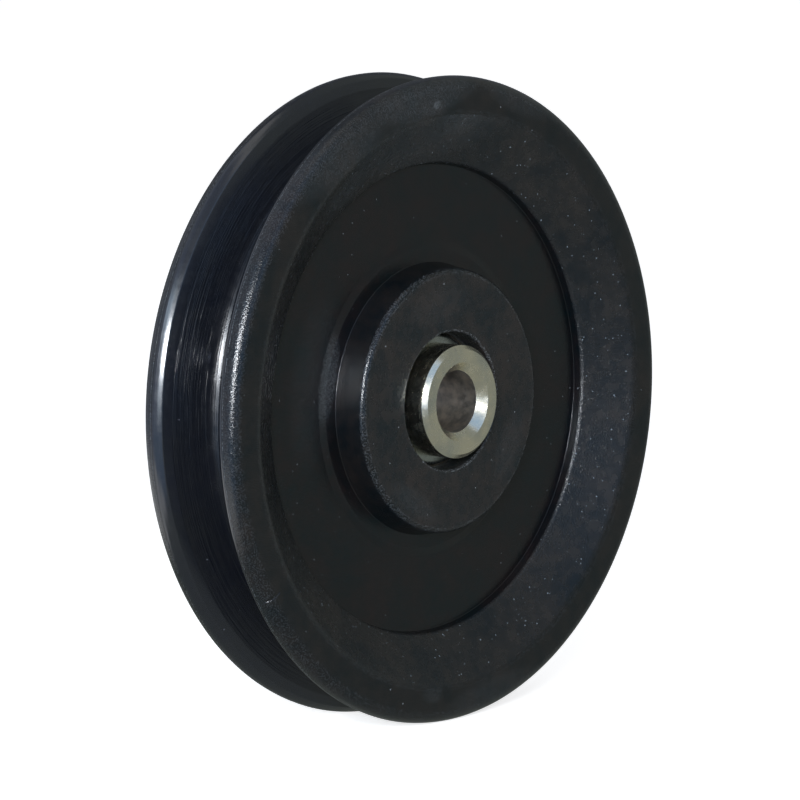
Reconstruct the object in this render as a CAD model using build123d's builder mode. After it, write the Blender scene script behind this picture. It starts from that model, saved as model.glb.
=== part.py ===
from build123d import *
from math import cos, pi, radians, sin, tan
import os

# A wire rope sheave: a moulded nylon wheel on a shielded ball bearing, with two
# flanged steel bushes that carry it on a bolt. The wheel's axis is Y, the origin
# is the wheel's centre, +Z is up, and the front face looks along -Y.
# All sizes are in millimetres.

# ---- Wheel: rim and rope groove -------------------------------------------------
wheel_dia = 105.0            # over the rims
rim_width = 20.0             # over both rim faces
groove_depth = 9.9           # rim to the bottom of the groove
groove_angle = 45.0          # between the two flanks
groove_root_radius = 3.4     # seat of a 6 mm rope
lip_radius = 1.8             # rounding of the rim into the groove
rim_edge_radius = 2.15       # rounding of the rim into its face
rim_edge_share = 0.6         # largest edge rounding, as a share of the rim's thickness
lip_share = 0.52             # largest lip rounding, as a share of that thickness
land_width = 6.1             # flat ring on the rim's face
land_blend_radius = 3.0      # where the flat ring turns down into the dished flange

# ---- Wheel: dished flange, web and hub ------------------------------------------
rim_depth = 14.1             # radial depth of the rim section, down to the web's step
low_wall_share = 0.7         # most of a low wall's height that its rounding may take
step_height = 1.5            # small step between the dished flange and the web
step_draft = 0.35            # radial run of the step's wall
step_edge_radius = 0.35
step_foot_radius = 0.7
web_thickness = 7.0
pad_width = 3.55             # low raised pad around the foot of the hub
pad_height = 0.3
pad_edge_radius = 0.2
hub_width = 18.0             # over both hub faces
hub_wall = 3.9               # nylon outside the bearing, at the hub's face
hub_draft = 0.8              # how much wider the hub is at its foot
hub_edge_radius = 1.0
hub_foot_radius = 0.3
mouth_gap = 0.45             # hub's mouth outside the inner ring's shoulder
mouth_edge_radius = 0.45

# ---- Bearing 15 x 35 x 11, deep groove, shielded on both sides ------------------
bearing_bore = 15.0
bearing_od = 35.0
bearing_width = 11.0
ring_edge_radius = 0.6
ring_gap = 3.5               # radial space between the shoulders of the two rings
ball_dia = 5.953
ball_count = 8
ball_play = 0.015            # clearance between a ball and each raceway
raceway_relief = 0.12        # how much larger the raceway's section is than the ball
shield_sheet = 0.3
shield_recess = 0.25         # shield below the rings' end faces
shield_step = 0.3            # pressed step between the shield's disc and its rim
shield_gap = 0.3             # shield to the inner ring's shoulder
shield_rim_width = 0.7       # flat rim that is held in the outer ring
shield_grip = 0.3            # how far the rim reaches into its groove
shield_clearance = 0.05
cage_sheet = 0.5
cage_side_gap = 0.5          # cage to the shoulder of each ring
cage_pocket_clearance = 0.05
rivet_dia = 0.8
rivet_head_dia = 1.5
rivet_head_height = 0.35
rivet_clearance = 0.02

# ---- Flanged bushes ---------------------------------------------------------------
axle_bore_dia = 10.1         # for a 10 mm bolt
bush_overall = 22.8          # over the two outer ends
bush_collar_dia = 18.4
bush_split = 0.4             # space left between the two spigots
bush_fit = 0.01              # spigot to the inner ring's bore
bush_edge_chamfer = 0.7
bush_mouth_chamfer = 1.4
bush_lead_chamfer = 0.4

# ---- Worked-out sizes -------------------------------------------------------------
wheel_r = wheel_dia / 2
rim_half = rim_width / 2
hub_half = hub_width / 2
bearing_r = bearing_od / 2
bearing_half = bearing_width / 2
bush_half = bush_overall / 2

flank_slope = radians(groove_angle / 2)
groove_centre_r = wheel_r - groove_depth + groove_root_radius
groove_apex_r = groove_centre_r - groove_root_radius / sin(flank_slope)
lip_half = (wheel_r - groove_apex_r) * tan(flank_slope)
rim_thickness = rim_half - lip_half
rim_edge = min(rim_edge_radius, rim_edge_share * rim_thickness)
lip_edge = min(lip_radius, lip_share * rim_thickness)

web_half = web_thickness / 2
land_r = wheel_r - land_width
step_r = wheel_r - rim_depth
step_half = web_half + step_height
step_edge = min(step_edge_radius, low_wall_share * step_height)
step_foot = min(step_foot_radius, low_wall_share * step_height)
pad_half = web_half + pad_height
pad_edge = min(pad_edge_radius, low_wall_share * pad_height)
hub_r = bearing_r + hub_wall
hub_foot_r = hub_r + hub_draft
pad_r = hub_foot_r + pad_width

ball_r = ball_dia / 2
pitch_r = (bearing_bore + bearing_od) / 4
inner_shoulder_r = pitch_r - ring_gap / 2
outer_shoulder_r = pitch_r + ring_gap / 2
mouth_r = inner_shoulder_r + mouth_gap
raceway_r = ball_r + raceway_relief
raceway_reach = ball_r + ball_play
pocket_r = ball_r + cage_pocket_clearance
cage_inner_r = inner_shoulder_r + cage_side_gap
cage_outer_r = outer_shoulder_r - cage_side_gap
cage_height = pocket_r + cage_sheet

shield_face = bearing_half - shield_recess
shield_seat = shield_face - shield_sheet - shield_step
shield_inner_r = inner_shoulder_r + shield_gap
shield_seat_r = outer_shoulder_r + shield_rim_width + shield_clearance
shield_r = shield_seat_r + shield_grip

# Planes through the wheel's middle, facing out to each side
FRONT = Plane.XZ
REAR = Plane(origin=(0, 0, 0), x_dir=(1, 0, 0), z_dir=(0, 1, 0))

near = 1e-4                  # how close a corner has to be to the place it is picked by


def corners(radius, height):
    """Corners of the section being drawn at this radius, on both sides of the middle plane."""
    return vertices().filter_by(
        lambda v: abs(v.X - radius) < near and abs(abs(v.Y) - height) < near
    )


def save(builder, name):
    """Label a finished piece and write it as its own STEP file."""
    builder.part.label = name
    export_step(builder.part, f"parts/{name}.step")


# ---- Wheel --------------------------------------------------------------------------
def make_wheel():
    """The one-piece nylon wheel, moulded round the bearing's outer ring."""
    with BuildPart() as wheel:
        with BuildSketch():
            with BuildLine():
                Polyline(
                    (bearing_r, 0),
                    (bearing_r, bearing_half),
                    (mouth_r, bearing_half),
                    (mouth_r, hub_half),
                    (hub_r, hub_half),
                    (hub_foot_r, pad_half),
                    (pad_r, pad_half),
                    (pad_r, web_half),
                    (step_r - step_draft, web_half),
                    (step_r, step_half),
                    (land_r, rim_half),
                    (wheel_r, rim_half),
                    (wheel_r, lip_half),
                    (groove_apex_r, 0),
                )
                mirror(about=Plane.XZ)
            make_face()
            fillet(corners(groove_apex_r, 0), groove_root_radius)
            fillet(corners(wheel_r, lip_half), lip_edge)
            fillet(corners(wheel_r, rim_half), rim_edge)
            fillet(corners(land_r, rim_half), land_blend_radius)
            fillet(corners(step_r, step_half), step_edge)
            fillet(corners(step_r - step_draft, web_half), step_foot)
            fillet(corners(pad_r, pad_half), pad_edge)
            fillet(corners(hub_foot_r, pad_half), hub_foot_radius)
            fillet(corners(hub_r, hub_half), hub_edge_radius)
            fillet(corners(mouth_r, hub_half), mouth_edge_radius)
            fillet(corners(bearing_r, bearing_half), ring_edge_radius)
        revolve(axis=Axis.Y)
    return wheel


# ---- Bearing ------------------------------------------------------------------------
def make_outer_ring():
    """The outer ring, with its raceway and a seat for a shield at each end."""
    seat_depth = bearing_half - shield_seat
    groove_width = shield_sheet + shield_clearance
    with BuildPart() as ring:
        with BuildSketch():
            with Locations(((outer_shoulder_r + bearing_r) / 2, 0)):
                Rectangle(bearing_r - outer_shoulder_r, bearing_width)
            with Locations((pitch_r + raceway_reach - raceway_r, 0)):
                Circle(raceway_r, mode=Mode.SUBTRACT)
            with GridLocations(0, 2 * bearing_half - seat_depth, 1, 2):
                with Locations(((outer_shoulder_r + shield_seat_r) / 2, 0)):
                    Rectangle(shield_seat_r - outer_shoulder_r, seat_depth, mode=Mode.SUBTRACT)
            with GridLocations(0, 2 * shield_seat + groove_width, 1, 2):
                with Locations((shield_seat_r, 0)):
                    Rectangle(2 * (shield_grip + shield_clearance), groove_width, mode=Mode.SUBTRACT)
            fillet(corners(bearing_r, bearing_half), ring_edge_radius)
        revolve(axis=Axis.Y)
    return ring


def make_inner_ring():
    """The inner ring, whose rounded shoulder shows in the hub's mouth."""
    bore_r = bearing_bore / 2
    with BuildPart() as ring:
        with BuildSketch():
            with Locations(((bore_r + inner_shoulder_r) / 2, 0)):
                Rectangle(inner_shoulder_r - bore_r, bearing_width)
            with Locations((pitch_r - raceway_reach + raceway_r, 0)):
                Circle(raceway_r, mode=Mode.SUBTRACT)
            fillet(corners(inner_shoulder_r, bearing_half), ring_edge_radius)
            fillet(corners(bore_r, bearing_half), ring_edge_radius)
        revolve(axis=Axis.Y)
    return ring


def make_shield(side):
    """A pressed sheet shield: a flat disc that steps back to a rim held in the outer ring."""
    disc_r = shield_seat_r - shield_rim_width
    bend = shield_sheet * tan(pi / 8)
    with BuildPart() as shield:
        with BuildSketch():
            with BuildLine():
                Polyline(
                    (shield_inner_r, side * shield_face),
                    (shield_inner_r, side * (shield_face - shield_sheet)),
                    (disc_r, side * (shield_face - shield_sheet)),
                    (disc_r + shield_step, side * shield_seat),
                    (shield_r, side * shield_seat),
                    (shield_r, side * (shield_seat + shield_sheet)),
                    (disc_r + shield_step + bend, side * (shield_seat + shield_sheet)),
                    (disc_r + bend, side * shield_face),
                    close=True,
                )
            make_face()
        revolve(axis=Axis.Y)
    return shield


def make_ball(angle):
    """One ball on the pitch circle, at this angle from +X towards +Z."""
    centre = Vector(pitch_r * cos(angle), 0, pitch_r * sin(angle))
    with BuildPart(Plane(origin=centre, x_dir=(1, 0, 0), z_dir=(0, -1, 0))) as ball:
        Sphere(ball_r)
    return ball


def make_cage_half(plane):
    """Half of the ribbon cage: a flat band that arches over each ball."""
    with BuildPart(plane) as half:
        with BuildSketch(plane):
            Circle(cage_outer_r)
            Circle(cage_inner_r, mode=Mode.SUBTRACT)
        extrude(amount=cage_sheet)
        with PolarLocations(pitch_r, ball_count):
            Sphere(cage_height)
        with BuildSketch(plane):
            Circle(cage_outer_r)
            Circle(cage_inner_r, mode=Mode.SUBTRACT)
        extrude(amount=cage_height, mode=Mode.INTERSECT)
        with PolarLocations(pitch_r, ball_count):
            Sphere(pocket_r, mode=Mode.SUBTRACT)
        with BuildSketch(plane):
            with PolarLocations(pitch_r, ball_count, start_angle=180 / ball_count):
                Circle(rivet_dia / 2 + rivet_clearance)
        extrude(amount=cage_sheet, mode=Mode.SUBTRACT)
    return half


def make_rivet(angle):
    """One rivet through both cage halves, midway between two balls."""
    centre = Vector(pitch_r * cos(angle), 0, pitch_r * sin(angle))
    head_r = rivet_head_dia / 2
    with BuildPart(Plane(origin=centre, x_dir=(1, 0, 0), z_dir=(0, -1, 0))) as rivet:
        Cylinder(rivet_dia / 2, 2 * cage_sheet)
        head_height = cage_sheet + rivet_head_height / 2
        with Locations((0, 0, head_height), (0, 0, -head_height)):
            Cylinder(head_r, rivet_head_height)
        ends = edges().filter_by(GeomType.CIRCLE).sort_by(Axis.Y)
        fillet([ends[0], ends[-1]], radius=low_wall_share * rivet_head_height)
    return rivet


# ---- Flanged bush ---------------------------------------------------------------------
def make_bush(side):
    """A flanged bush: its collar bears on the inner ring, its spigot fills half the bore."""
    bore_r = axle_bore_dia / 2
    collar_r = bush_collar_dia / 2
    spigot_r = bearing_bore / 2 - bush_fit
    inner_end = bush_split / 2
    with BuildPart() as bush:
        with BuildSketch():
            with BuildLine():
                Polyline(
                    (bore_r, side * inner_end),
                    (bore_r, side * bush_half),
                    (collar_r, side * bush_half),
                    (collar_r, side * bearing_half),
                    (spigot_r, side * bearing_half),
                    (spigot_r, side * inner_end),
                    close=True,
                )
            make_face()
            chamfer(corners(bore_r, bush_half), bush_mouth_chamfer)
            chamfer(corners(collar_r, bush_half), bush_edge_chamfer)
            chamfer(corners(spigot_r, inner_end), bush_lead_chamfer)
        revolve(axis=Axis.Y)
    return bush


os.makedirs("parts", exist_ok=True)

save(make_wheel(), "sheave_wheel")
save(make_outer_ring(), "bearing_outer_ring")
save(make_inner_ring(), "bearing_inner_ring")
save(make_shield(-1), "bearing_shield_front")
save(make_shield(1), "bearing_shield_rear")
save(make_cage_half(FRONT), "bearing_cage_front")
save(make_cage_half(REAR), "bearing_cage_rear")
save(make_bush(-1), "flanged_bush_front")
save(make_bush(1), "flanged_bush_rear")

ball_spacing = 2 * pi / ball_count
for index in range(ball_count):
    save(make_ball(index * ball_spacing), f"bearing_ball_{index + 1}")
    save(make_rivet((index + 0.5) * ball_spacing), f"cage_rivet_{index + 1}")
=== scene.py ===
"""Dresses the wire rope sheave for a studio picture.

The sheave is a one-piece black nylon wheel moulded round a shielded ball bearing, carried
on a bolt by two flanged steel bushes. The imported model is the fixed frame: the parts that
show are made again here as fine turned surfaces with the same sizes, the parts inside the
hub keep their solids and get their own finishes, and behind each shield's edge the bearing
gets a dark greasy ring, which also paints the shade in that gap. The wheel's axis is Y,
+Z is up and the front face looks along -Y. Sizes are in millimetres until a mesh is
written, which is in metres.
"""
import logging
import math
from abc import ABC, abstractmethod
from dataclasses import dataclass, replace
from enum import Enum

import bpy
import numpy as np
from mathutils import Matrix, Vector


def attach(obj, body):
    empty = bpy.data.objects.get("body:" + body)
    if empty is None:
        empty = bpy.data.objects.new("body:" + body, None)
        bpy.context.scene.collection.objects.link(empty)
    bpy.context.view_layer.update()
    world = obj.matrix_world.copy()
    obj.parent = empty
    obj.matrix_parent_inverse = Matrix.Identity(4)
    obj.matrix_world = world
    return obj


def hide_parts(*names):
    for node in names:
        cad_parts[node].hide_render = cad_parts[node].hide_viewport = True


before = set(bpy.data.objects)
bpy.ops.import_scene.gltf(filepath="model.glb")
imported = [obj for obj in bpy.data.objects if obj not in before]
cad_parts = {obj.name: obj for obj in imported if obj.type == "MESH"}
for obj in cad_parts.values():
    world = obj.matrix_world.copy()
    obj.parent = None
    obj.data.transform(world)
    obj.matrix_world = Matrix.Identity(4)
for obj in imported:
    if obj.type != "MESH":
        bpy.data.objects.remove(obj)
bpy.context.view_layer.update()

LOG = logging.getLogger("sheave")
MM = 0.001  # in metres

# Sockets of Blender's Mix node that carry colours, by number.
MIX_FIRST = 6
MIX_SECOND = 7
MIX_RESULT = 2

Colour = tuple[float, float, float]
Socket = bpy.types.NodeSocket
Node = bpy.types.Node
Tree = bpy.types.NodeTree
Material = bpy.types.Material
Piece = bpy.types.Object
Value = float | tuple | Socket
WHITE: Colour = (1.0, 1.0, 1.0)


class Side(Enum):
    """The two sides of the wheel, by the sign of Y."""

    FRONT = -1
    REAR = 1


class Zone(Enum):
    """Surface zones of the nylon wheel, by the slot of their material."""

    FACE = 0
    GROOVE = 1
    FLANK = 2
    LIP = 3
    DISH = 4
    WEB = 5
    HUB = 6
    SEAT = 7


class BushZone(Enum):
    """Surface zones of a bush, by the slot of their material."""

    OUTSIDE = 0
    BORE = 1


# ---- Node drawing -----------------------------------------------------------------


class Sheet:
    """A node tree being drawn: puts nodes down and joins their sockets."""

    def __init__(self, tree: Tree) -> None:
        """Starts on a tree.

        Args:
            tree: The material's or the group's node tree.
        """
        self.tree = tree

    def put(self, kind: str, settings: dict | None = None, inputs: dict | None = None) -> Node:
        """Puts a node down.

        Args:
            kind: The node's Blender type.
            settings: Its own properties, by name.
            inputs: Its inputs, by name or number, each a value or a socket to join.

        Returns:
            The new node.
        """
        node = self.tree.nodes.new(kind)
        for name, value in (settings or {}).items():
            setattr(node, name, value)
        for key, value in (inputs or {}).items():
            self.feed(node.inputs[key], value)
        return node

    def feed(self, socket: Socket, value: Value) -> None:
        """Joins a socket to another or sets its value.

        Args:
            socket: The input to feed.
            value: A socket, a number or a colour.
        """
        if isinstance(value, Socket):
            self.tree.links.new(value, socket)
        else:
            socket.default_value = value

    def calc(self, operation: str, *terms: Value) -> Socket:
        """One step of arithmetic on sockets or numbers, as its result's socket."""
        node = self.put("ShaderNodeMath", {"operation": operation}, dict(enumerate(terms)))
        return node.outputs[0]

    def fade(
        self, value: Value, start: float, end: float, low: float = 0.0, high: float = 1.0
    ) -> Socket:
        """A smooth step from low to high while a value goes from start to end.

        Args:
            value: What is measured.
            start: Where the step begins.
            end: Where it ends.
            low: Result before the start.
            high: Result after the end.

        Returns:
            The stepped value's socket.
        """
        inputs = {"Value": value, "From Min": start, "From Max": end, "To Min": low, "To Max": high}
        node = self.put("ShaderNodeMapRange", {"interpolation_type": "SMOOTHSTEP"}, inputs)
        return node.outputs["Result"]

    def blend(self, share: Value, first: Value, second: Value) -> Socket:
        """Mixes two colours.

        Args:
            share: How much of the second shows.
            first: Colour at share 0.
            second: Colour at share 1.

        Returns:
            The mixed colour's socket.
        """
        inputs = {0: share, MIX_FIRST: opaque(first), MIX_SECOND: opaque(second)}
        node = self.put("ShaderNodeMix", {"data_type": "RGBA", "clamp_result": True}, inputs)
        return node.outputs[MIX_RESULT]

    def noise(self, point: Value, size: float, detail: float = 2.0, rough: float = 0.5) -> Socket:
        """Soft noise whose patches are about this size, in the point's own unit.

        Args:
            point: Where it is read.
            size: Size of a patch.
            detail: Number of finer layers.
            rough: Strength of the finer layers.

        Returns:
            The noise's value socket, from 0 to 1.
        """
        inputs = {"Vector": point, "Scale": 1.0 / size, "Detail": detail, "Roughness": rough}
        return self.put("ShaderNodeTexNoise", None, inputs).outputs[0]


def opaque(colour: Value) -> Value:
    """A three-part colour with full opacity added, and anything else as it is.

    Args:
        colour: A colour or a socket.

    Returns:
        The colour in four parts, or the socket.
    """
    if isinstance(colour, tuple) and len(colour) == 3:
        return (*colour, 1.0)
    return colour


class Effect(ABC):
    """A shared look, made once as a node group and placed in each material with its values."""

    label = ""
    inputs: tuple[tuple[str, str, Value], ...] = ()
    outputs: tuple[tuple[str, str], ...] = ()

    @abstractmethod
    def draw(self, sheet: Sheet, given: dict) -> dict:
        """Draws the group's nodes.

        Args:
            sheet: The group's own tree.
            given: The group's inputs as sockets, by name.

        Returns:
            A socket for each output, by name.
        """

    def tree(self) -> Tree:
        """Draws the group on its first use.

        Returns:
            The group's tree.
        """
        made = bpy.data.node_groups.get(self.label)
        if made:
            return made
        tree = bpy.data.node_groups.new(self.label, "ShaderNodeTree")
        for name, kind, value in self.inputs:
            socket = tree.interface.new_socket(name, in_out="INPUT", socket_type=f"NodeSocket{kind}")
            if kind == "Float":
                socket.default_value = value
        for name, kind in self.outputs:
            tree.interface.new_socket(name, in_out="OUTPUT", socket_type=f"NodeSocket{kind}")
        sheet = Sheet(tree)
        entry = sheet.put("NodeGroupInput")
        leave = sheet.put("NodeGroupOutput")
        given = {name: entry.outputs[name] for name, _, _ in self.inputs}
        for name, socket in self.draw(sheet, given).items():
            sheet.feed(leave.inputs[name], socket)
        return tree

    def place(self, sheet: Sheet, **values: Value) -> dict:
        """Puts the group into a tree.

        Args:
            sheet: The tree it goes into.
            values: Its inputs, with underscores for spaces.

        Returns:
            Its outputs as sockets, by name.
        """
        node = sheet.put("ShaderNodeGroup", {"node_tree": self.tree()})
        for name, value in values.items():
            sheet.feed(node.inputs[name.replace("_", " ").capitalize()], value)
        return {socket.name: socket for socket in node.outputs}


class RingPlace(Effect):
    """Where a point lies on a turned part: its radius, its depth along the axis and its turn."""

    label = "Ring place"
    inputs = (("Point", "Vector", 0.0),)
    outputs = (("Radius", "Float"), ("Depth", "Float"), ("Turn", "Float"))

    def draw(self, sheet: Sheet, given: dict) -> dict:
        """Radius is the root of x squared plus z squared, depth is y, turn is z's angle from x.

        Args:
            sheet: The group's own tree.
            given: The group's inputs as sockets, by name.

        Returns:
            The point's Radius and Depth in its own unit, and its Turn in radians.
        """
        parts = sheet.put("ShaderNodeSeparateXYZ", None, {0: given["Point"]}).outputs
        across = sheet.calc("MULTIPLY", parts[0], parts[0])
        radius = sheet.calc("SQRT", sheet.calc("MULTIPLY_ADD", parts[2], parts[2], across))
        turn = sheet.calc("ARCTAN2", parts[2], parts[0])
        return {"Radius": radius, "Depth": parts[1], "Turn": turn}


class MouldSkin(Effect):
    """Skin of a part: fine grain over a softer, wider orange peel."""

    label = "Mould skin"
    inputs = (("Point", "Vector", 0.0), ("Peel", "Float", 1.0))
    outputs = (("Height", "Float"),)
    grain_size = 0.20
    grain_detail = 1.0
    peel_size = 1.6

    def draw(self, sheet: Sheet, given: dict) -> dict:
        """Height is the grain noise plus the peel noise times Peel.

        Args:
            sheet: The group's own tree.
            given: The group's inputs as sockets, by name.

        Returns:
            The Height.
        """
        fine = sheet.noise(given["Point"], self.grain_size, self.grain_detail)
        coarse = sheet.noise(given["Point"], self.peel_size)
        return {"Height": sheet.calc("MULTIPLY_ADD", coarse, given["Peel"], fine)}


class TurnedLines(Effect):
    """Fine rings that a cutting tool or a polishing cloth leaves round a turned surface."""

    label = "Turned lines"
    inputs = (
        ("Radius", "Float", 0.0),
        ("Depth", "Float", 0.0),
        ("Turn", "Float", 0.0),
        ("Pitch", "Float", 0.2),
        ("Length", "Float", 1.0),
    )
    outputs = (("Height", "Float"), ("Streak", "Float"))
    layers = {"Scale": 1.0, "Detail": 3.0, "Roughness": 0.6}
    streaks_from = 0.55
    streaks_to = 0.75

    def draw(self, sheet: Sheet, given: dict) -> dict:
        """Noise read at radius and depth over Pitch, and at the turn's circle over Length.

        Args:
            sheet: The group's own tree.
            given: The group's inputs as sockets, by name.

        Returns:
            The lines' Height and where they Streak.
        """
        over_r = sheet.calc("DIVIDE", given["Radius"], given["Pitch"])
        over_y = sheet.calc("DIVIDE", given["Depth"], given["Pitch"])
        round_x = sheet.calc("DIVIDE", sheet.calc("COSINE", given["Turn"]), given["Length"])
        round_z = sheet.calc("DIVIDE", sheet.calc("SINE", given["Turn"]), given["Length"])
        place = sheet.put("ShaderNodeCombineXYZ", None, {0: over_r, 1: over_y, 2: round_x}).outputs[0]
        inputs = {"Vector": place, "W": round_z, **self.layers}
        lines = sheet.put("ShaderNodeTexNoise", {"noise_dimensions": "4D"}, inputs).outputs[0]
        return {"Height": lines, "Streak": sheet.fade(lines, self.streaks_from, self.streaks_to)}


class Mottle(Effect):
    """Cloudy patches: uneven skin on nylon, uneven plating on steel."""

    label = "Mottle"
    inputs = (("Point", "Vector", 0.0), ("Size", "Float", 8.0))
    outputs = (("Cloud", "Float"), ("Fleck", "Float"))
    cloud_detail = 4.0
    cloud_from = 0.3
    fleck_size = 0.2
    fleck_detail = 3.0
    fleck_from = 0.35
    full_at = 0.7
    rough = 0.6

    def draw(self, sheet: Sheet, given: dict) -> dict:
        """Cloud is noise of the given Size, Fleck noise a fifth as large, both spread to 0 to 1.

        Args:
            sheet: The group's own tree.
            given: The group's inputs as sockets, by name.

        Returns:
            The masks Cloud and Fleck.
        """
        size = sheet.put("ShaderNodeCombineXYZ", None, dict.fromkeys(range(3), given["Size"]))
        inputs = {0: given["Point"], 1: size.outputs[0]}
        place = sheet.put("ShaderNodeVectorMath", {"operation": "DIVIDE"}, inputs).outputs[0]
        cloud = sheet.noise(place, 1.0, self.cloud_detail, self.rough)
        fleck = sheet.noise(place, self.fleck_size, self.fleck_detail, self.rough)
        cloud = sheet.fade(cloud, self.cloud_from, self.full_at)
        fleck = sheet.fade(fleck, self.fleck_from, self.full_at)
        return {"Cloud": cloud, "Fleck": fleck}


class Dust(Effect):
    """Sparse pale specks: dust and tiny knocks, which on the dish also paint the glints of its grain.
    """

    label = "Dust"
    inputs = (("Point", "Vector", 0.0), ("Spacing", "Float", 1.0), ("Share", "Float", 0.1))
    outputs = (("Speck", "Float"),)
    smallest = 0.04
    spread = 0.10

    def draw(self, sheet: Sheet, given: dict) -> dict:
        """A speck sits in the middle of each cell whose own random value is under Share.

        Args:
            sheet: The group's own tree.
            given: The group's inputs as sockets, by name.

        Returns:
            The mask Speck.
        """
        scale = sheet.calc("DIVIDE", 1.0, given["Spacing"])
        cells = sheet.put("ShaderNodeTexVoronoi", None, {"Vector": given["Point"], "Scale": scale})
        pick = sheet.put("ShaderNodeSeparateColor", None, {0: cells.outputs["Color"]}).outputs
        chosen = sheet.calc("LESS_THAN", pick[0], given["Share"])
        reach = sheet.calc("MULTIPLY_ADD", pick[1], self.spread, self.smallest)
        dot = sheet.calc("LESS_THAN", cells.outputs["Distance"], reach)
        return {"Speck": sheet.calc("MULTIPLY", chosen, dot)}


class EdgeRubAndGlint(Effect):
    """Worn outer edges, broken up by noise into pale chips, which also paint the glints of the
    highlights along the edges.
    """

    label = "Edge rub"
    inputs = (("Edge", "Float", 0.0), ("Point", "Vector", 0.0), ("Sharpness", "Float", 0.5))
    outputs = (("Rub", "Float"),)
    chip_size = 0.24
    chip_detail = 1.0
    chips_from = 0.46
    chips_to = 0.66

    def draw(self, sheet: Sheet, given: dict) -> dict:
        """The edge's curvature over Sharpness, times noise, clipped to 0 to 1.

        Args:
            sheet: The group's own tree.
            given: The group's inputs as sockets, by name.

        Returns:
            The mask of worn edges and of their painted glints.
        """
        worn = sheet.calc("DIVIDE", given["Edge"], given["Sharpness"])
        chips = sheet.noise(given["Point"], self.chip_size, self.chip_detail)
        broken = sheet.fade(chips, self.chips_from, self.chips_to)
        return {"Rub": sheet.calc("MINIMUM", sheet.calc("MULTIPLY", worn, broken), 1.0)}


# ---- Finishes -----------------------------------------------------------------------

NYLON_PATCH = 9.0  # cloudy patches of the nylon, in mm
FLECK_WEIGHT = 0.35  # share of a patch's colour that its flecks give
SCUFF_AND_LIGHT_GRAIN = 1.3  # size of the pieces that scuff marks and patches of painted light break up into, in mm
SCUFF_AND_LIGHT_BREAK = 0.7  # how much of each scuff mark and each patch of painted light breaks up
PALE_COVER = 0.6  # how far dust, scuff marks, painted glints and painted light cover the nylon
DUST_AND_GLINT_SPACING = 1.0  # spacing of the places for a speck of dust and for a painted glint, in mm
EDGE_SHARPNESS = 2.5  # curvature at which an edge is fully worn and fully painted with glints, in 1/mm
NICK_DEPTH = 0.25  # in mm
TOOL_STREAK = 0.8  # length of a streak on turned steel, as a share of the radius
PIT_PEEL = 1.5  # coarser unevenness of steel, as a share of its pits


def new_material(name: str) -> tuple[Material, Sheet, Node]:
    """A material with an empty Principled shader.

    Args:
        name: The material's name.

    Returns:
        The material, its node sheet and its shader node.
    """
    material = bpy.data.materials.new(name)
    material.use_nodes = True
    sheet = Sheet(material.node_tree)
    shader = material.node_tree.nodes["Principled BSDF"]
    return material, sheet, shader


def own_point(sheet: Sheet) -> Socket:
    """The surface point in the piece's own frame.

    Args:
        sheet: The tree that it is read in.

    Returns:
        The point's socket, in millimetres.
    """
    place = sheet.put("ShaderNodeTexCoord").outputs["Object"]
    inputs = {"Vector": place, "Scale": (1 / MM,) * 3}
    return sheet.put("ShaderNodeMapping", None, inputs).outputs[0]


def ring_place(sheet: Sheet, point: Value) -> dict:
    """Radius, depth and turn of a point, by lower-case name, ready to feed turned lines."""
    place = RingPlace().place(sheet, point=point)
    return {name.lower(): socket for name, socket in place.items()}


def raise_skin(sheet: Sheet, shader: Node, height: Value) -> None:
    """Bumps a shader's normal.

    Args:
        sheet: The material's node sheet.
        shader: Its shader node.
        height: Height of the skin, in metres.
    """
    bump = sheet.put("ShaderNodeBump", None, {"Strength": 1.0, "Distance": 1.0, "Height": height})
    sheet.feed(shader.inputs["Normal"], bump.outputs["Normal"])


@dataclass(frozen=True)
class Mark:
    """A mark in the wheel's face, as a soft ellipse that lies along the rim; the marks are scuffs,
    nicks, painted highlights and patches of painted light.

    Args:
        radius: Distance of its middle from the axis, in mm.
        turn: Angle of its middle from +X towards +Z, in degrees.
        along: Half its length along the rim, in mm.
        across: Half its width towards the axis, in mm.
        strength: How strong it is at its middle.
        lean: Tilt of its length away from the rim's own direction, in degrees.
    """

    radius: float
    turn: float
    along: float
    across: float
    strength: float
    lean: float = 0.0

    def mask(self, sheet: Sheet, point: Value) -> Socket:
        """One at the middle, falling to nothing at the ellipse's edge.

        Args:
            sheet: The tree that it is drawn in.
            point: The surface point in mm.

        Returns:
            The mask's socket.
        """
        turn = math.radians(self.turn)
        centre = (self.radius * math.cos(turn), 0.0, self.radius * math.sin(turn))
        swing = (0.0, turn + math.radians(90 + self.lean), 0.0)
        shift = sheet.put("ShaderNodeVectorMath", {"operation": "SUBTRACT"}, {0: point, 1: centre})
        inputs = {"Vector": shift.outputs[0], "Rotation": swing}
        turned = sheet.put("ShaderNodeMapping", {"vector_type": "POINT"}, inputs)
        parts = sheet.put("ShaderNodeSeparateXYZ", None, {0: turned.outputs[0]}).outputs
        along = sheet.calc("DIVIDE", parts[0], self.along)
        across = sheet.calc("DIVIDE", parts[2], self.across)
        far = sheet.calc("MULTIPLY_ADD", across, across, sheet.calc("MULTIPLY", along, along))
        return sheet.fade(far, 0.0, 1.0, self.strength, 0.0)


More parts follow.
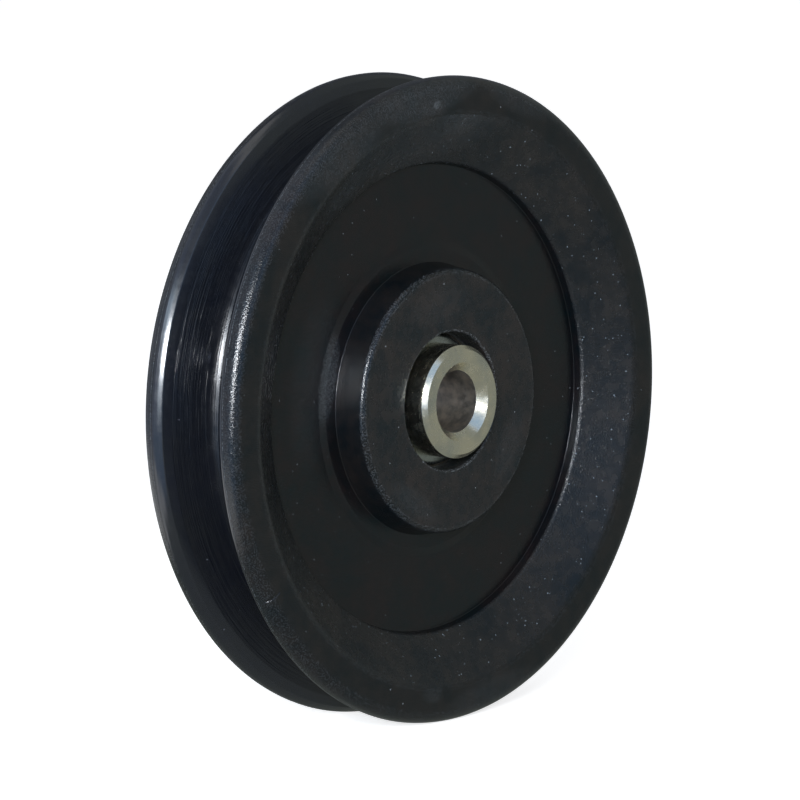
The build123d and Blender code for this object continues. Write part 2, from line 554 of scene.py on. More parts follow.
@dataclass(frozen=True)
class NylonFinish:
    """Black moulded nylon.

    Args:
        name: The material's name.
        cool: Colour of the cooler patches.
        warm: Colour of the browner patches.
        pale_and_glint: Colour of worn edges, dust and pale marks, and of the glints painted along the
            edges.
        roughness: Roughness of the skin.
        grain: Depth of the fine grain, in mm.
        dust_and_glint_share: Share of places that carry a speck of dust, and on the dish also a
            painted glint, where the patches gather them.
        uneven: How much the roughness wanders.
        gloss_level: Strength of the plain reflection.
        peel: Depth of the orange peel, in mm.
        lines: Depth of the rings round the surface, in mm.
        line_pitch: Spacing of those rings, in mm.
        line_length: Length of a streak, as a share of the radius.
        rub_and_glint_share: How far the outer edges have worn pale and carry painted glints.
        scuffs_and_painted_light: Pale marks on the surface: scuff marks, painted highlights and
            patches of painted light.
        nicks: Small cuts in the surface.
    """

    name: str
    cool: Colour
    warm: Colour
    pale_and_glint: Colour
    roughness: float
    grain: float
    dust_and_glint_share: float
    uneven: float = 0.08
    gloss_level: float = 0.5
    peel: float = 0.020
    lines: float = 0.002
    line_pitch: float = 0.5
    line_length: float = 1.0
    rub_and_glint_share: float = 0.05
    scuffs_and_painted_light: tuple[Mark, ...] = ()
    nicks: tuple[Mark, ...] = ()

    def material(self) -> Material:
        """Draws the material.

        Returns:
            The finished material.
        """
        material, sheet, shader = new_material(self.name)
        point = own_point(sheet)
        place = ring_place(sheet, point)
        edge = sheet.put("ShaderNodeAttribute", {"attribute_name": "edge"}).outputs["Fac"]
        cloud = Mottle().place(sheet, point=point, size=NYLON_PATCH)
        skin = MouldSkin().place(sheet, point=point, peel=self.peel / self.grain)
        lines = TurnedLines().place(sheet, pitch=self.line_pitch, length=self.line_length, **place)
        gathered = sheet.calc("MULTIPLY", cloud["Cloud"], cloud["Cloud"])
        share = sheet.calc("MULTIPLY", gathered, self.dust_and_glint_share)
        pale = Dust().place(sheet, point=point, spacing=DUST_AND_GLINT_SPACING, share=share)["Speck"]
        # Pale chips on the convex edges: wear, which also paints the glints of the highlights there.
        rub_and_glint = EdgeRubAndGlint().place(sheet, edge=edge, point=point, sharpness=EDGE_SHARPNESS)["Rub"]

        grains = Mottle().place(sheet, point=point, size=SCUFF_AND_LIGHT_GRAIN)["Fleck"]
        broken_up = sheet.calc("MULTIPLY_ADD", grains, SCUFF_AND_LIGHT_BREAK, 1 - SCUFF_AND_LIGHT_BREAK)
        # Pale marks: scuff marks, and patches of painted highlight and painted light.
        for mark in self.scuffs_and_painted_light:
            broken = sheet.calc("MULTIPLY", mark.mask(sheet, point), broken_up)
            pale = sheet.calc("MAXIMUM", pale, broken)
        patch = sheet.calc("MULTIPLY", cloud["Cloud"], 1 - FLECK_WEIGHT)
        patch = sheet.calc("MULTIPLY_ADD", cloud["Fleck"], FLECK_WEIGHT, patch)
        colour = sheet.blend(patch, self.cool, self.warm)
        colour = sheet.blend(sheet.calc("MULTIPLY", rub_and_glint, self.rub_and_glint_share), colour, self.pale_and_glint)
        colour = sheet.blend(sheet.calc("MULTIPLY", pale, PALE_COVER), colour, self.pale_and_glint)
        sheet.feed(shader.inputs["Base Color"], colour)

        wander = sheet.calc("MULTIPLY_ADD", cloud["Fleck"], self.uneven, self.roughness)
        wander = sheet.calc("MULTIPLY_ADD", lines["Streak"], -self.uneven, wander)
        sheet.feed(shader.inputs["Roughness"], wander)
        shader.inputs["Specular IOR Level"].default_value = self.gloss_level

        height = sheet.calc("MULTIPLY", skin["Height"], self.grain * MM)
        height = sheet.calc("MULTIPLY_ADD", lines["Height"], self.lines * MM, height)
        for nick in self.nicks:
            height = sheet.calc("MULTIPLY_ADD", nick.mask(sheet, point), -NICK_DEPTH * MM, height)
        raise_skin(sheet, shader, height)
        return material


@dataclass(frozen=True)
class SteelFinish:
    """Turned, ground, pressed or polished steel.

    Args:
        name: The material's name.
        colour: The metal's colour.
        tint: Colour of its stained or thicker-plated patches.
        roughness: Roughness of the surface.
        pits: Depth of the fine unevenness, in mm.
        patch: Size of the patches, in mm.
        uneven: How much the roughness wanders.
        lines: Depth of the rings left by turning, in mm.
        line_pitch: Spacing of those rings, in mm.
    """

    name: str
    colour: Colour
    tint: Colour
    roughness: float
    pits: float
    patch: float
    uneven: float = 0.08
    lines: float = 0.0
    line_pitch: float = 0.3

    def material(self) -> Material:
        """Draws the material.

        Returns:
            The finished material.
        """
        material, sheet, shader = new_material(self.name)
        point = own_point(sheet)
        place = ring_place(sheet, point)
        cloud = Mottle().place(sheet, point=point, size=self.patch)
        lines = TurnedLines().place(sheet, pitch=self.line_pitch, length=TOOL_STREAK, **place)
        skin = MouldSkin().place(sheet, point=point, peel=PIT_PEEL)

        sheet.feed(shader.inputs["Base Color"], sheet.blend(cloud["Cloud"], self.colour, self.tint))
        shader.inputs["Metallic"].default_value = 1.0
        wander = sheet.calc("MULTIPLY_ADD", cloud["Fleck"], self.uneven, self.roughness)
        wander = sheet.calc("MULTIPLY_ADD", lines["Streak"], self.uneven, wander)
        sheet.feed(shader.inputs["Roughness"], wander)
        height = sheet.calc("MULTIPLY", skin["Height"], self.pits * MM)
        height = sheet.calc("MULTIPLY_ADD", lines["Height"], self.lines * MM, height)
        raise_skin(sheet, shader, height)
        return material


@dataclass(frozen=True)
class GreaseAndShadeFinish:
    """Grease, dark, wet and of uneven thickness; its darkness also paints the shade in the bearing's
    gap.

    Args:
        name: The material's name.
        thin: Colour where it lies thin.
        thick: Colour where it lies thick.
        roughness: Roughness of its skin.
        uneven: How much the roughness wanders.
        swell: Height of its swells, in mm.
        patch: Size of its swells, in mm.
    """

    name: str
    thin: Colour
    thick: Colour
    roughness: float
    uneven: float
    swell: float
    patch: float

    def material(self) -> Material:
        """Draws the material.

        Returns:
            The finished material.
        """
        material, sheet, shader = new_material(self.name)
        cloud = Mottle().place(sheet, point=own_point(sheet), size=self.patch)
        sheet.feed(shader.inputs["Base Color"], sheet.blend(cloud["Cloud"], self.thin, self.thick))
        wander = sheet.calc("MULTIPLY_ADD", cloud["Fleck"], self.uneven, self.roughness)
        sheet.feed(shader.inputs["Roughness"], wander)
        height = sheet.calc("MULTIPLY", cloud["Cloud"], self.swell * MM)
        raise_skin(sheet, shader, height)
        return material


FACE_NYLON = NylonFinish(
    name="nylon_moulded_face",
    cool=(0.0004, 0.0028, 0.0046),
    warm=(0.0098, 0.0080, 0.0076),
    pale_and_glint=(0.24, 0.27, 0.30),
    roughness=0.155,
    grain=0.050,
    dust_and_glint_share=0.20,
    scuffs_and_painted_light=(
        Mark(48.3, 95.6, 1.3, 0.9, 0.50, 15.0),
        Mark(48.4, 97.0, 6.0, 2.0, 0.18),
        Mark(49.5, 100.0, 16.0, 3.5, 0.16),
        Mark(49.0, 122.0, 16.0, 3.5, 0.12),
        Mark(47.8, -96.8, 3.0, 1.6, 0.09),
        Mark(49.5, -80.0, 14.0, 3.0, 0.08),
        Mark(50.3, 72.0, 10.0, 2.5, 0.08),
    ),
    nicks=(Mark(50.9, -148.1, 0.35, 1.6, 1.0),),
    rub_and_glint_share=0.29,
)
# The dish's nylon colours are lighter than the face's, which paints the light that the dish reflects.
DISH_NYLON = NylonFinish(
    name="nylon_moulded_dish",
    cool=(0.0022, 0.0048, 0.0074),
    warm=(0.0155, 0.0135, 0.0125),
    pale_and_glint=(0.24, 0.29, 0.34),
    roughness=0.23,
    grain=0.085,
    # Dense pale specks: dust, and painted glints of the grain where the dish catches the lamps.
    dust_and_glint_share=3.2,
    scuffs_and_painted_light=(
        Mark(45.7, 87.4, 7.0, 4.0, 0.12),
        Mark(42.4, 123.3, 9.0, 3.5, 0.09),
        # This wide faint mark paints the lighter top of the dish, where it faces down to the white
        # floor.
        Mark(43.0, 100.0, 24.0, 6.0, 0.07),
    ),
    rub_and_glint_share=0.03,
)
WEB_NYLON = NylonFinish(
    name="nylon_moulded_web",
    cool=(0.0004, 0.0032, 0.0046),
    warm=(0.0062, 0.0036, 0.0040),
    pale_and_glint=(0.24, 0.27, 0.30),
    roughness=0.16,
    grain=0.036,
    dust_and_glint_share=0.35,
    # Both marks, beside the hub at turns of 168 and 170 degrees, paint the reflection of the lit hub
    # wall in the web.
    scuffs_and_painted_light=(
        Mark(24.2, 168.0, 9.0, 2.4, 0.30),
        Mark(27.0, 170.0, 16.0, 7.0, 0.06),
    ),
)
GROOVE_NYLON = NylonFinish(
    name="nylon_polished_groove",
    cool=(0.0032, 0.0040, 0.0068),
    warm=(0.0052, 0.0058, 0.0076),
    pale_and_glint=(0.12, 0.13, 0.16),
    roughness=0.20,
    gloss_level=0.6,
    grain=0.001,
    peel=0.004,
    lines=0.05,
    line_pitch=0.25,
    line_length=0.5,
    dust_and_glint_share=0.10,
)
FLANK_NYLON = replace(
    GROOVE_NYLON,
    name="nylon_scratched_flank",
    roughness=0.16,
    lines=0.092,
    line_pitch=0.18,
    # Both marks sit at the turn of 167.4 degrees where the front lamp's highlight falls, and paint
    # that highlight on the scratched flank.
    scuffs_and_painted_light=(
        Mark(44.4, 167.4, 1.2, 1.2, 0.40),
        Mark(46.6, 167.4, 1.6, 3.0, 0.10),
    ),
)
LIP_NYLON = replace(
    GROOVE_NYLON,
    name="nylon_burnished_lip",
    cool=(0.0050, 0.0062, 0.0100),
    warm=(0.0070, 0.0080, 0.0100),
    roughness=0.18,
    uneven=0.06,
    gloss_level=0.8,
    lines=0.004,
    line_pitch=0.35,
)
HUB_NYLON = NylonFinish(
    name="nylon_rubbed_and_glint_hub",
    cool=(0.0020, 0.0058, 0.0085),
    warm=(0.0190, 0.0145, 0.0130),
    pale_and_glint=(0.24, 0.26, 0.28),
    roughness=0.24,
    uneven=0.10,
    grain=0.060,
    peel=0.030,
    dust_and_glint_share=0.5,
    scuffs_and_painted_light=(
        Mark(16.0, 100.0, 9.0, 4.0, 0.05),
        Mark(17.0, -30.0, 8.0, 3.5, 0.07),
        Mark(18.0, -120.0, 8.0, 2.5, 0.08),
    ),
    # The hub's pale edge chips also paint the glints of the highlight on its rounded edge.
    rub_and_glint_share=0.34,
)
SEAT_NYLON = NylonFinish(
    name="nylon_hub_inside",
    cool=(0.0080, 0.0090, 0.0100),
    warm=(0.0110, 0.0100, 0.0090),
    pale_and_glint=(0.05, 0.05, 0.05),
    roughness=0.5,
    uneven=0.1,
    gloss_level=0.4,
    grain=0.006,
    peel=0.006,
    line_pitch=0.3,
    dust_and_glint_share=0.0,
)
WHEEL_FINISHES = {
    Zone.FACE: FACE_NYLON,
    Zone.GROOVE: GROOVE_NYLON,
    Zone.FLANK: FLANK_NYLON,
    Zone.LIP: LIP_NYLON,
    Zone.DISH: DISH_NYLON,
    Zone.WEB: WEB_NYLON,
    Zone.HUB: HUB_NYLON,
    Zone.SEAT: SEAT_NYLON,
}
BUSH_STEEL = SteelFinish(
    name="steel_plated_bush",
    colour=(0.66, 0.65, 0.57),
    tint=(0.93, 0.84, 0.65),
    roughness=0.20,
    lines=0.0015,
    line_pitch=0.25,
    pits=0.0008,
    patch=5.0,
)
BORE_STEEL = SteelFinish(
    name="steel_dull_bore",
    colour=(0.28, 0.27, 0.25),
    tint=(0.64, 0.57, 0.49),
    roughness=0.34,
    uneven=0.12,
    lines=0.003,
    pits=0.004,
    patch=2.2,
)
RING_STEEL = SteelFinish(
    name="steel_ground_ring",
    colour=(0.46, 0.48, 0.46),
    tint=(0.38, 0.40, 0.37),
    roughness=0.22,
    lines=0.002,
    line_pitch=0.08,
    pits=0.001,
    patch=5.0,
)
SHIELD_STEEL = SteelFinish(
    name="steel_pressed_shield",
    colour=(0.42, 0.43, 0.43),
    tint=(0.33, 0.34, 0.33),
    roughness=0.32,
    uneven=0.10,
    lines=0.001,
    line_pitch=0.2,
    pits=0.003,
    patch=3.0,
)
CAGE_STEEL = SteelFinish(
    name="steel_pressed_cage",
    colour=(0.50, 0.49, 0.45),
    tint=(0.40, 0.38, 0.33),
    roughness=0.34,
    uneven=0.12,
    lines=0.0005,
    pits=0.004,
    patch=2.5,
)
RIVET_STEEL = SteelFinish(
    name="steel_headed_rivet",
    colour=(0.55, 0.55, 0.53),
    tint=(0.42, 0.41, 0.38),
    roughness=0.28,
    uneven=0.10,
    pits=0.003,
    patch=0.8,
)
BALL_STEEL = SteelFinish(
    name="steel_polished_ball",
    colour=(0.62, 0.63, 0.64),
    tint=(0.57, 0.58, 0.59),
    roughness=0.06,
    uneven=0.03,
    pits=0.0002,
    patch=2.0,
)
# Dark bearing grease, which also paints the shade in the gaps at the shields' edges.
BEARING_GREASE_AND_SHADE = GreaseAndShadeFinish(
    name="grease_in_bearing",
    thin=(0.030, 0.024, 0.016),
    thick=(0.012, 0.010, 0.008),
    roughness=0.30,
    uneven=0.1,
    swell=0.04,
    patch=1.2,
)


# ---- Turned surfaces ------------------------------------------------------------------

SMALL_KEEPS = 3  # a small rounding keeps one point in this many


def rounded_outline(
    corners: np.ndarray, radii: np.ndarray, steps: int, small: float = 0.0
) -> np.ndarray:
    """Closed section outline with every corner rounded.

    With unit directions u and v from a corner P to its neighbours and the angle a between
    them, the rounding touches both sides at the distance r / tan(a / 2), and its centre C
    lies on the bisector. Its points are C + r (p sin((1 - s) t) + q sin(s t)) / sin(t) for
    s from 0 to 1, where p and q point from C to the two touching points and t = pi - a.

    Args:
        corners: Corner points as rows of radius and depth.
        radii: Rounding radius of each corner, above zero.
        steps: Number of runs in each rounding.
        small: Radius up to which a rounding keeps only one point in SMALL_KEEPS.

    Returns:
        The outline's points as rows of radius and depth, without a repeated last point.
    """
    back = np.roll(corners, 1, axis=0) - corners
    ahead = np.roll(corners, -1, axis=0) - corners
    u = back / np.linalg.norm(back, axis=1, keepdims=True)
    v = ahead / np.linalg.norm(ahead, axis=1, keepdims=True)
    opening = np.arccos(np.clip(np.sum(u * v, axis=1), -1.0, 1.0))[:, None]
    r = radii[:, None]
    reach = r / np.tan(opening / 2)
    first = corners + u * reach
    last = corners + v * reach
    bisector = u + v
    bisector /= np.linalg.norm(bisector, axis=1, keepdims=True)
    centre = corners + bisector * (r / np.sin(opening / 2))
    p = (first - centre) / r
    q = (last - centre) / r
    turn = (math.pi - opening)[:, :, None]
    s = np.linspace(0.0, 1.0, steps + 1)[None, :, None]
    leaving = p[:, None, :] * np.sin((1 - s) * turn)
    swing = (leaving + q[:, None, :] * np.sin(s * turn)) / np.sin(turn)
    kept = (np.arange(steps + 1) % SMALL_KEEPS == 0)[None, :] | (radii > small)[:, None]
    return (centre[:, None, :] + r[:, :, None] * swing)[kept]


def filled_runs(outline: np.ndarray, spacing: float) -> np.ndarray:
    """Adds evenly spaced points to the outline's long runs.

    A run of length L is cut into L / spacing equal parts, rounded up, and each new point is
    the run's start plus its share of the run.

    Args:
        outline: Closed outline as rows of radius and depth.
        spacing: Longest run allowed.

    Returns:
        The filled outline.
    """
    runs = np.roll(outline, -1, axis=0) - outline
    counts = np.maximum(1, np.ceil(np.linalg.norm(runs, axis=1) / spacing)).astype(int)
    owner = np.repeat(np.arange(len(outline)), counts)
    order = np.arange(len(owner)) - np.repeat(np.cumsum(counts) - counts, counts)
    share = (order / counts[owner])[:, None]
    return outline[owner] + runs[owner] * share


def run_middles(outline: np.ndarray) -> tuple[np.ndarray, np.ndarray]:
    """Radius of each run's middle in a closed section, and its distance from the middle plane.

    Args:
        outline: The section as rows of radius and depth.

    Returns:
        The radii and the distances.
    """
    middle = (outline + np.roll(outline, -1, axis=0)) / 2
    return middle[:, 0], np.abs(middle[:, 1])


def on_side(side: Side, corners: np.ndarray) -> np.ndarray:
    """Corners drawn for the rear, kept or mirrored to the front, and anticlockwise either way.

    Args:
        side: Where they go.
        corners: Rows of radius and depth, anticlockwise, at the rear.

    Returns:
        The rows for that side.
    """
    if side is Side.REAR:
        return corners
    return (corners * (1, side.value))[::-1]


@dataclass(frozen=True)
class TurnedSurface:
    """A closed section carried once round the wheel's axis.

    Args:
        name: The piece's name.
        outline: Section as rows of radius and depth, in mm, anticlockwise.
        parts: Number of parts that the full turn is cut into.
    """

    name: str
    outline: np.ndarray
    parts: int

    def section_normals(self) -> tuple[np.ndarray, np.ndarray]:
        """Outward normal and curvature at each point of the section.

        A run's normal is its direction turned a quarter clockwise. A point's normal is the
        mean of its two runs' normals weighted by their lengths, and its curvature is the
        turn between the runs over their mean length, above zero where the section bulges.

        Returns:
            The normals as rows of radius and depth, and the curvatures in 1/mm.
        """
        ahead = np.roll(self.outline, -1, axis=0) - self.outline
        length = np.linalg.norm(ahead, axis=1, keepdims=True)
        along = ahead / length
        square = np.stack([along[:, 1], -along[:, 0]], axis=1)
        before = np.roll(square, 1, axis=0)
        weight = np.roll(length, 1, axis=0)
        normal = square * length + before * weight
        normal /= np.linalg.norm(normal, axis=1, keepdims=True)
        last = np.roll(along, 1, axis=0)
        turn = np.arcsin(np.clip(last[:, 0] * along[:, 1] - last[:, 1] * along[:, 0], -1.0, 1.0))
        return normal, turn / ((length + weight)[:, 0] / 2)

    def build(self, zones: np.ndarray | None = None) -> Piece:
        """Makes the mesh.

        The point at section place i and turn j is (r cos f, y, r sin f) with
        f = 2 pi j / parts, and each face joins places i and i + 1 at turns j and j + 1, both
        counted round.

        Args:
            zones: Material slot of each run of the section, or None for one material.

        Returns:
            The new object, at the origin, with the attribute "edge" holding the curvature.
        """
        count = len(self.outline)
        turn = 2 * np.pi * np.arange(self.parts) / self.parts
        round_x, round_z = np.cos(turn)[None, :], np.sin(turn)[None, :]
        r, y = self.outline[:, :1], self.outline[:, 1:]
        points = np.stack([r * round_x, y + 0 * round_x, r * round_z], axis=2) * MM
        normal, curve = self.section_normals()
        nr, ny = normal[:, :1], normal[:, 1:]
        normals = np.stack([nr * round_x, ny + 0 * round_x, nr * round_z], axis=2)

        i, j = np.meshgrid(np.arange(count), np.arange(self.parts), indexing="ij")
        ring, next_ring = i * self.parts, (i + 1) % count * self.parts
        next_j = (j + 1) % self.parts
        corners = [ring + j, next_ring + j, next_ring + next_j, ring + next_j]
        quads = np.stack(corners, axis=2).reshape(-1, 4)

        mesh = bpy.data.meshes.new(self.name)
        mesh.vertices.add(count * self.parts)
        mesh.vertices.foreach_set("co", points.reshape(-1))
        mesh.loops.add(quads.size)
        mesh.loops.foreach_set("vertex_index", quads.reshape(-1))
        mesh.polygons.add(len(quads))
        mesh.polygons.foreach_set("loop_start", np.arange(0, quads.size, 4))
        if zones is not None:
            mesh.polygons.foreach_set("material_index", np.repeat(zones, self.parts))
        mesh.update(calc_edges=True)
        mesh.shade_smooth()
        mesh.normals_split_custom_set_from_vertices(normals.reshape(-1, 3))
        edge = mesh.attributes.new("edge", "FLOAT", "POINT")
        edge.data.foreach_set("value", np.repeat(np.maximum(curve, 0.0), self.parts))
        mesh.validate()
        return add_object(self.name, mesh)


def add_object(name: str, data: bpy.types.ID) -> Piece:
    """Puts a new object at the scene's origin.

    Args:
        name: Its name.
        data: Its mesh, lamp or camera.

    Returns:
        The new object.
    """
    made = bpy.data.objects.new(name, data)
    bpy.context.scene.collection.objects.link(made)
    return made


def dress(piece: Piece, *materials: Material) -> None:
    """Gives a piece its materials, one for each slot.

    Args:
        piece: The new piece or the CAD node's object.
        materials: Its materials in the order of its slots.
    """
    slots = piece.data.materials
    for number, material in enumerate(materials):
        if number < len(slots):
            slots[number] = material
        else:
            slots.append(material)


# ---- Sub-assemblies ---------------------------------------------------------------------


@dataclass
class NylonWheel:
    """The one-piece wheel: rope groove, dished flanges, web and hub, moulded round the bearing.

    Every field is a size in millimetres, apart from the angles of the groove and of the
    lip's facets in degrees, and the counts of parts round the axis and of steps in a rounding.
    """

    wheel_dia: float = 105.0
    rim_width: float = 20.0
    groove_depth: float = 9.9
    groove_angle: float = 45.0
    groove_root_radius: float = 3.4
    lip_radius: float = 2.2
    lip_facets: tuple[float, float] = (32.0, 39.5)
    lip_roundings: tuple[float, float, float] = (0.8, 4.0, 0.5)
    rim_edge_radius: float = 2.15
    land_width: float = 6.1
    land_blend_radius: float = 3.0
    rim_depth: float = 14.1
    step_height: float = 1.5
    step_draft: float = 0.35
    step_edge_radius: float = 0.95
    step_foot_radius: float = 0.12
    web_thickness: float = 7.0
    pad_width: float = 3.55
    pad_height: float = 0.3
    pad_ramp: float = 1.2
    pad_edge_radius: float = 1.5
    hub_width: float = 18.0
    hub_radius: float = 21.4
    hub_draft: float = 0.8
    hub_edge_radius: float = 1.0
    hub_foot_radius: float = 0.15
    mouth_radius: float = 11.2
    mouth_edge_radius: float = 0.45
    seat_radius: float = 17.5
    seat_half: float = 5.5
    seat_edge_radius: float = 0.6
    ridge_height: float = 0.05
    ridge_half: float = 0.1
    ridge_inset: float = 0.15
    groove_reach: float = 1.0  # the groove's zone goes this far past the flank's line
    root_reach: float = 2.38  # the flank's zone starts this far above the groove's bottom
    wall_blend: float = 0.665  # the web's zone ends this far below the step's top
    clearance: float = 0.1  # spare room where zones are told apart
    sharp: float = 0.04  # rounding of an edge that stays crisp
    spacing: float = 1.6  # longest run of the section
    small: float = 0.2  # roundings up to this radius keep fewer points
    parts: int = 280
    steps: int = 9

    def half_section(self) -> np.ndarray:
        """Corners of the rear half, from the bearing's seat out to the groove's lip.

        Returns:
            Rows of radius, depth and rounding.
        """
        wheel_r = self.wheel_dia / 2
        rim_half = self.rim_width / 2
        hub_half = self.hub_width / 2
        web_half = self.web_thickness / 2
        step_r = wheel_r - self.rim_depth
        pad_half = web_half + self.pad_height
        foot_r = self.hub_radius + self.hub_draft
        ridge_at = rim_half - self.rim_edge_radius - self.ridge_inset
        corners = [
            (self.seat_radius, self.seat_half, self.seat_edge_radius),
            (self.mouth_radius, self.seat_half, self.sharp),
            (self.mouth_radius, hub_half, self.mouth_edge_radius),
            (self.hub_radius, hub_half, self.hub_edge_radius),
            (foot_r, pad_half, self.hub_foot_radius),
            (foot_r + self.pad_width - self.pad_ramp, pad_half, self.pad_edge_radius),
            (foot_r + self.pad_width, web_half, self.pad_edge_radius),
            (step_r - self.step_draft, web_half, self.step_foot_radius),
            (step_r, web_half + self.step_height, self.step_edge_radius),
            (wheel_r - self.land_width, rim_half, self.land_blend_radius),
            (wheel_r, rim_half, self.rim_edge_radius),
            (wheel_r, ridge_at + self.ridge_half, self.sharp),
            (wheel_r + self.ridge_height, ridge_at, self.sharp),
            (wheel_r, ridge_at - self.ridge_half, self.sharp),
        ]
        return np.concatenate([np.array(corners), self.lip()])

    def lip(self) -> np.ndarray:
        """Corners of the rear lip, from the rim's outside round to the groove's flank.

        The lip's circle of radius R touches the rim's outside and the flank. Its tangents at
        the angles t from the outside's own normal meet two by two at the distance
        R / cos(d) from its middle, in the direction m, where m is the mean of their angles
        and d is half their difference.

        Returns:
            Rows of radius, depth and rounding.
        """
        wheel_r = self.wheel_dia / 2
        slope = math.radians(self.groove_angle / 2)
        touch = math.pi / 2 - slope
        reach = wheel_r - self.lip_radius * (1 - math.cos(touch)) - self.apex_radius()
        middle = reach * math.tan(slope) + self.lip_radius * math.sin(touch)
        tangents = np.array([0.0, *np.radians(self.lip_facets), touch])
        mean = (tangents[1:] + tangents[:-1]) / 2
        out = self.lip_radius / np.cos((tangents[1:] - tangents[:-1]) / 2)
        radius = wheel_r - self.lip_radius + out * np.cos(mean)
        depth = middle - out * np.sin(mean)
        return np.stack([radius, depth, np.array(self.lip_roundings)], axis=1)

    def apex_radius(self) -> float:
        """Radius at which the groove's two flanks would meet, under the rounded root."""
        centre_r = self.wheel_dia / 2 - self.groove_depth + self.groove_root_radius
        return centre_r - self.groove_root_radius / math.sin(math.radians(self.groove_angle / 2))

    def outline(self) -> np.ndarray:
        """The whole section, anticlockwise: front half, groove's root, rear half.

        Returns:
            Rows of radius and depth.
        """
        rear = self.half_section()
        front = rear * (1, -1, 1)
        root = np.array([(self.apex_radius(), 0.0, self.groove_root_radius)])
        corners = np.concatenate([front, root, rear[::-1]])
        rounded = rounded_outline(corners[:, :2], corners[:, 2], self.steps, self.small)
        return filled_runs(rounded, self.spacing)

    def zones(self, outline: np.ndarray) -> np.ndarray:
        """Zone of each run of the section, by where the run's middle lies.

        The groove is its rounded root, its flanks run out from there to the lips, the web
        runs from the hub's foot up the step's wall, the dish lies between the step and the
        land, the hub's end faces lie within its radius, the seat lies inside the hub, and
        the rest is the moulded face. A later zone takes a run from an earlier one.

        Args:
            outline: The section.

        Returns:
            Material slot of each run.
        """
        radius, depth = run_middles(outline)
        wheel_r = self.wheel_dia / 2
        root_r = wheel_r - self.groove_depth
        foot_r = self.hub_radius + self.hub_draft
        slope = math.tan(math.radians(self.groove_angle / 2))
        lip_half = (wheel_r - self.apex_radius()) * slope
        flank = (radius - self.apex_radius()) * slope
        wall_top = self.web_thickness / 2 + self.step_height - self.wall_blend
        in_groove = (radius > root_r - self.clearance) & (depth < flank + self.groove_reach)
        in_groove &= depth < lip_half + self.lip_radius
        on_flank = in_groove & (radius > root_r + self.root_reach)
        on_lip = in_groove & (radius > wheel_r - self.lip_radius)
        on_lip &= depth > lip_half - self.lip_radius
        in_seat = radius < self.seat_radius + self.clearance
        in_seat &= depth < self.seat_half + self.clearance
        on_hub = (radius < self.hub_radius - self.hub_edge_radius / 2) & ~in_seat
        on_dish = (radius > foot_r) & (radius < wheel_r - self.land_width) & ~in_groove
        on_web = (radius > foot_r) & (radius < wheel_r - self.rim_depth + self.clearance)
        on_web &= depth < wall_top
        slots = np.full(len(outline), Zone.FACE.value)
        ruled = (in_groove, on_flank, on_lip, on_dish, on_web, on_hub, in_seat)
        for zone, held in zip(list(Zone)[1:], ruled, strict=True):
            slots[held] = zone.value
        return slots

    def build(self) -> Piece:
        """Makes and dresses the wheel.

        Returns:
            The wheel's object.
        """
        outline = self.outline()
        piece = TurnedSurface("nylon_wheel", outline, self.parts).build(self.zones(outline))
        dress(piece, *(WHEEL_FINISHES[zone].material() for zone in Zone))
        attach(piece, "sheave")
        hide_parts("sheave_wheel")
        return piece


@dataclass
class FlangedBush:
    """A turned steel bush: a collar on the inner ring and a spigot in half of its bore.

    Every field is a size in millimetres, apart from the side and the two counts.
    """

    side: Side
    bore_dia: float = 10.1
    outer_end: float = 11.4
    inner_end: float = 0.2
    collar_dia: float = 18.4
    shoulder: float = 5.5
    spigot_dia: float = 14.98
    edge_chamfer: float = 0.7
    mouth_chamfer: float = 1.4
    lead_chamfer: float = 0.4
    edge_break: float = 0.08
    spacing: float = 0.6
    parts: int = 240
    steps: int = 4

    def outline(self) -> np.ndarray:
        """The bush's section on its own side, anticlockwise, with every edge broken.

        Returns:
            Rows of radius and depth.
        """
        bore_r, collar_r, spigot_r = self.bore_dia / 2, self.collar_dia / 2, self.spigot_dia / 2
        corners = np.array([
            (bore_r, self.inner_end),
            (spigot_r - self.lead_chamfer, self.inner_end),
            (spigot_r, self.inner_end + self.lead_chamfer),
            (spigot_r, self.shoulder),
            (collar_r, self.shoulder),
            (collar_r, self.outer_end - self.edge_chamfer),
            (collar_r - self.edge_chamfer, self.outer_end),
            (bore_r + self.mouth_chamfer, self.outer_end),
            (bore_r, self.outer_end - self.mouth_chamfer),
        ])
        radii = np.full(len(corners), self.edge_break)
        rounded = rounded_outline(on_side(self.side, corners), radii, self.steps)
        return filled_runs(rounded, self.spacing)

    def zones(self, outline: np.ndarray) -> np.ndarray:
        """Zone of each run of the section: the bore's wall, or the rest.

        Args:
            outline: The section.

        Returns:
            Material slot of each run.
        """
        radius, _ = run_middles(outline)
        in_bore = radius < self.bore_dia / 2 + self.edge_break / 2
        return np.where(in_bore, BushZone.BORE.value, BushZone.OUTSIDE.value)

    def build(self, outside: Material, bore: Material) -> Piece:
        """Makes and dresses the bush.

        Args:
            outside: The bush's steel.
            bore: The steel of its bore.

        Returns:
            The bush's object.
        """
        where = self.side.name.lower()
        outline = self.outline()
        surface = TurnedSurface(f"turned_bush_{where}", outline, self.parts)
        piece = surface.build(self.zones(outline))
        dress(piece, outside, bore)
        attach(piece, "axle_core")
        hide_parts(f"flanged_bush_{where}")
        return piece


